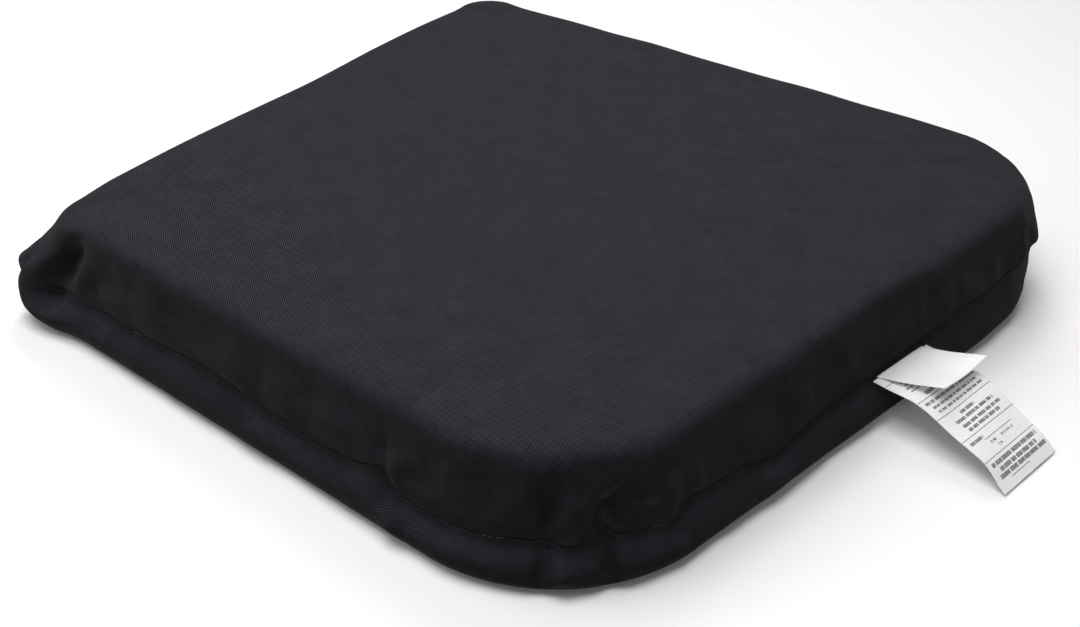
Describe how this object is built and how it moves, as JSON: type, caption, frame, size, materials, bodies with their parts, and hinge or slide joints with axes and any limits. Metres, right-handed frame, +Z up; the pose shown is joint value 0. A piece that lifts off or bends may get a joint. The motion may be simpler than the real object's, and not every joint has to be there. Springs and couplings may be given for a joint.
{
  "type": "seat cushion",
  "caption": "Trapezoid seat cushion: latex core in a zipped twill cover with sewn-in labels.",
  "frame": {"origin": "centre of the flat underside, on the surface that the cushion lies on", "axes": "+Z up through the thickness, -Y towards the wide front edge, +Y towards the narrow rear edge"},
  "size_m": [0.505, 0.406, 0.066],
  "materials": {
    "latex_foam": "matte",
    "twill": "matte cotton twill",
    "thread": "matte",
    "zip_tape": "woven",
    "nylon_coil": "satin",
    "stop_metal": "satin",
    "slider_enamel": "gloss enamel",
    "label_satin": "white satin"
  },
  "bodies": {
    "cushion": {"foam_core": "latex_foam", "cover_top_panel": "twill", "cover_bottom_panel": "twill", "seam_thread": "thread", "overlock_thread": "thread", "zip_tape_upper": "zip_tape", "zip_tape_lower": "zip_tape", "zip_coil_upper": "nylon_coil", "zip_coil_lower": "nylon_coil", "zip_top_stops": "stop_metal", "zip_bottom_stop": "stop_metal", "zip_topstitch_upper": "thread", "zip_topstitch_lower": "thread", "zip_bartacks": "thread"},
    "slider": {"slider_body": "slider_enamel"},
    "tab": {"pull_tab": "slider_enamel"},
    "law_label": {"law_label": "label_satin"},
    "care_label": {"care_label": "label_satin"}
  },
  "joints": [
    {"name": "slider_slide", "type": "slide", "parent": "cushion", "child": "slider", "axis": [-0.1234, 0.9924, 0], "range_m": [0, 0.3], "deforming": ["zip_coil_upper", "zip_coil_lower"]},
    {"name": "tab_swing", "type": "hinge", "parent": "slider", "child": "tab", "pos_m": [0.22395, -0.1458, 0.023], "axis": [0, 0, -1], "range_deg": [0, 180]},
    {"name": "law_label_lift", "type": "hinge", "parent": "cushion", "child": "law_label", "pos_m": [-0.20577, -0.01543, 0.023], "axis": [0.1234, 0.9924, 0], "range_deg": [0, 50]},
    {"name": "care_label_lift", "type": "hinge", "parent": "law_label", "child": "care_label", "pos_m": [-0.20577, -0.01543, 0.023], "axis": [0.1234, 0.9924, 0], "range_deg": [0, 25]}
  ]
}
